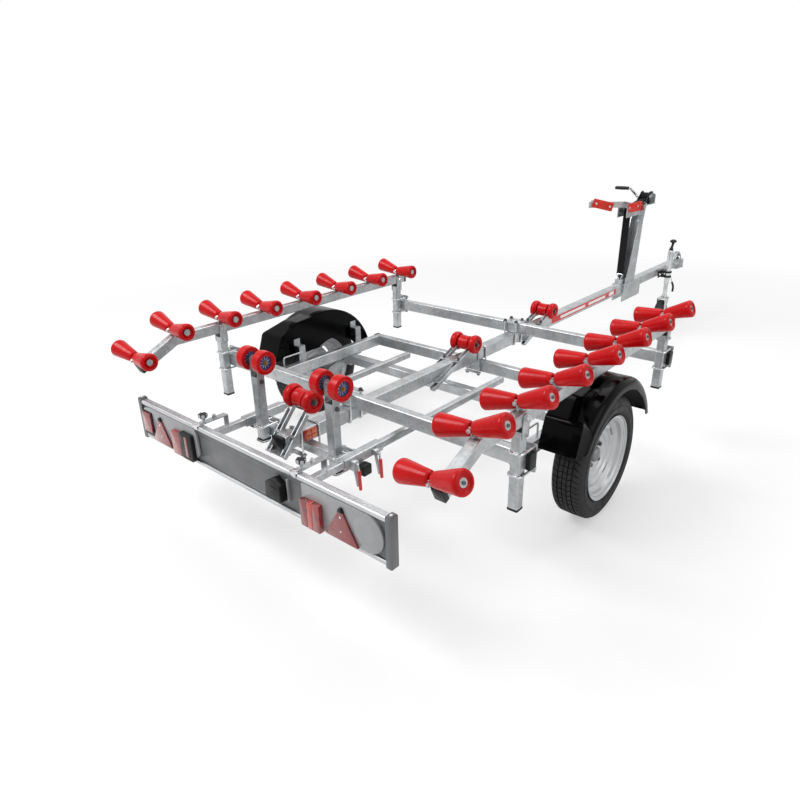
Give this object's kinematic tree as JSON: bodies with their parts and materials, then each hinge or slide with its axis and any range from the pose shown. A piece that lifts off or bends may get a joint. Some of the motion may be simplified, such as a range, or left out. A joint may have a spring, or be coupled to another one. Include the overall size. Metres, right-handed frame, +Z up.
{
  "type": "boat trailer",
  "caption": "Single-axle roller boat trailer with side roller beams, keel rollers, winch post, jockey wheel and sliding light board.",
  "frame": {"origin": "on the ground under the middle of the whole trailer", "axes": "+X to the trailer's right, +Y ahead towards the coupling, +Z up"},
  "size_m": [1.9285, 4.67, 1.1149],
  "materials": {
    "galvanised": "hot-dip galvanised steel, mottled satin",
    "dark_zinc": "dark zinc-plated U-bolts",
    "bright_zinc": "bright zinc-plated steel",
    "black_plastic": "moulded black plastic",
    "guard_plastic": "glossy black moulded plastic",
    "roller_red": "glossy red polyurethane",
    "tyre_rubber": "black tyre rubber",
    "rim_silver": "silver painted steel wheel",
    "cast_steel": "galvanised cast steel",
    "strap_web": "black woven webbing",
    "board_aluminium": "ribbed aluminium extrusion",
    "board_grey": "grey moulded plastic",
    "lamp_red": "red lamp lens",
    "amber": "amber reflector lens"
  },
  "bodies": {
    "trailer": {"spine_tube": "galvanised", "rear_crossmember": "galvanised", "front_crossmember": "galvanised", "middle_crossmember": "galvanised", "lower_cross_tube": "galvanised", "tube_caps": "black_plastic", "side_rail_right": "galvanised", "side_rail_left": "galvanised", "frame_brackets": "galvanised", "frame_clamps": "dark_zinc", "axle_tube": "galvanised", "suspension_arms": "cast_steel", "side_beam_right": "galvanised", "side_beam_left": "galvanised", "mudguard_right": "guard_plastic", "mudguard_left": "guard_plastic", "guard_stays": "galvanised", "post_clamps": "dark_zinc", "twin_posts": "galvanised", "roller_brackets": "galvanised", "side_rollers_right": "roller_red", "side_rollers_left": "roller_red", "beam_posts": "galvanised", "beam_forks": "galvanised", "keel_ladder_rear": "galvanised", "keel_ladder_middle": "galvanised", "keel_ladder_front": "galvanised", "light_sleeves": "galvanised", "winch_post": "galvanised", "winch_base": "galvanised", "winch_frame": "bright_zinc", "winch_drum": "black_plastic", "winch_crank": "bright_zinc", "winch_strap": "strap_web", "winch_hook": "bright_zinc", "bow_stop_bracket": "galvanised", "bow_stop_pads": "roller_red", "coupling_head": "cast_steel", "coupling_handle": "cast_steel", "jockey_tube": "bright_zinc", "jockey_clamp": "black_plastic", "side_reflector": "amber", "tie_down_loops": "galvanised"},
    "wheel_right": {"tyre_right": "tyre_rubber", "rim_right": "rim_silver"},
    "wheel_left": {"tyre_left": "tyre_rubber", "rim_left": "rim_silver"},
    "light_board": {"light_arms": "galvanised", "light_board_rails": "board_aluminium", "light_board_ends": "board_grey", "light_board_panel": "board_grey", "light_board_lamps": "lamp_red"},
    "keel_roller_rear": {"keel_roller_rear": "roller_red"},
    "keel_roller_middle": {"keel_roller_middle": "roller_red"},
    "keel_roller_front": {"keel_roller_front": "roller_red"},
    "twin_wheels_right": {"twin_wheels_right": "roller_red"},
    "twin_wheels_left": {"twin_wheels_left": "roller_red"},
    "jockey_leg": {"jockey_leg": "bright_zinc"},
    "jockey_fork": {"jockey_fork": "bright_zinc"},
    "jockey_wheel": {"jockey_wheel": "tyre_rubber"}
  },
  "joints": [
    {"name": "wheel_right_spin", "type": "hinge", "parent": "trailer", "child": "wheel_right", "pos_m": [0.8525, -1.173, 0.2655], "axis": [-1, 0, 0], "continuous": true},
    {"name": "wheel_left_spin", "type": "hinge", "parent": "trailer", "child": "wheel_left", "pos_m": [-0.8525, -1.173, 0.2655], "axis": [-1, 0, 0], "continuous": true},
    {"name": "light_board_slide", "type": "slide", "parent": "trailer", "child": "light_board", "axis": [0, -1, 0], "range_m": [-0.05, 0.8]},
    {"name": "keel_roller_rear_spin", "type": "hinge", "parent": "trailer", "child": "keel_roller_rear", "pos_m": [0, -1.992, 0.567], "axis": [-1, 0, 0], "continuous": true},
    {"name": "keel_roller_middle_spin", "type": "hinge", "parent": "trailer", "child": "keel_roller_middle", "pos_m": [0, -0.896, 0.509], "axis": [-1, 0, 0], "continuous": true},
    {"name": "keel_roller_front_spin", "type": "hinge", "parent": "trailer", "child": "keel_roller_front", "pos_m": [0, -0.085, 0.504], "axis": [-1, 0, 0], "continuous": true},
    {"name": "twin_wheels_right_spin", "type": "hinge", "parent": "trailer", "child": "twin_wheels_right", "pos_m": [0.216, -2.038, 0.692], "axis": [-1, 0, 0], "continuous": true},
    {"name": "twin_wheels_left_spin", "type": "hinge", "parent": "trailer", "child": "twin_wheels_left", "pos_m": [-0.216, -2.038, 0.692], "axis": [-1, 0, 0], "continuous": true},
    {"name": "jockey_leg_slide", "type": "slide", "parent": "trailer", "child": "jockey_leg", "axis": [0, 0, 1], "range_m": [-0.12, 0.085]},
    {"name": "jockey_swivel", "type": "hinge", "parent": "jockey_leg", "child": "jockey_fork", "pos_m": [0.085, 1.787, 0.3], "axis": [0, 0, 1], "continuous": true},
    {"name": "jockey_wheel_spin", "type": "hinge", "parent": "jockey_fork", "child": "jockey_wheel", "pos_m": [0.085, 1.737, 0.1], "axis": [-1, 0, 0], "continuous": true}
  ]
}
